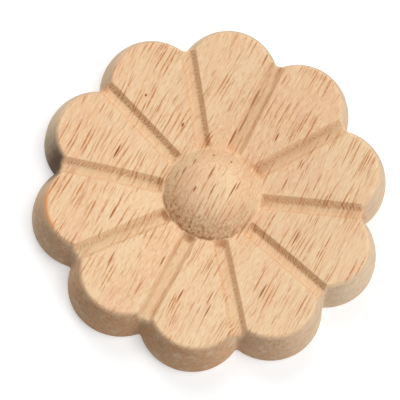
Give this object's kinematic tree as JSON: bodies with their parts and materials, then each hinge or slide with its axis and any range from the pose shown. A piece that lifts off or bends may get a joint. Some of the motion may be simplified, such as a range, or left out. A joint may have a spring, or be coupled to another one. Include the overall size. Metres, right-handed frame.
{
  "type": "round carved wood rosette",
  "caption": "Round flower rosette of pale wood with scalloped edge, dished face, domed boss and radial grooves; glued to furniture by its flat back.",
  "frame": {"origin": "centre of the flat back, on the surface the rosette is fixed to or lies on", "axes": "+Z out of the face along the rosette's own axis; +X through the middle of a petal"},
  "size_m": [0.05, 0.0482, 0.0064],
  "materials": {
    "wood": "unfinished, finely sanded face with sawn and routed side"
  },
  "bodies": {
    "root": {"rosette": "wood"}
  },
  "joints": []
}
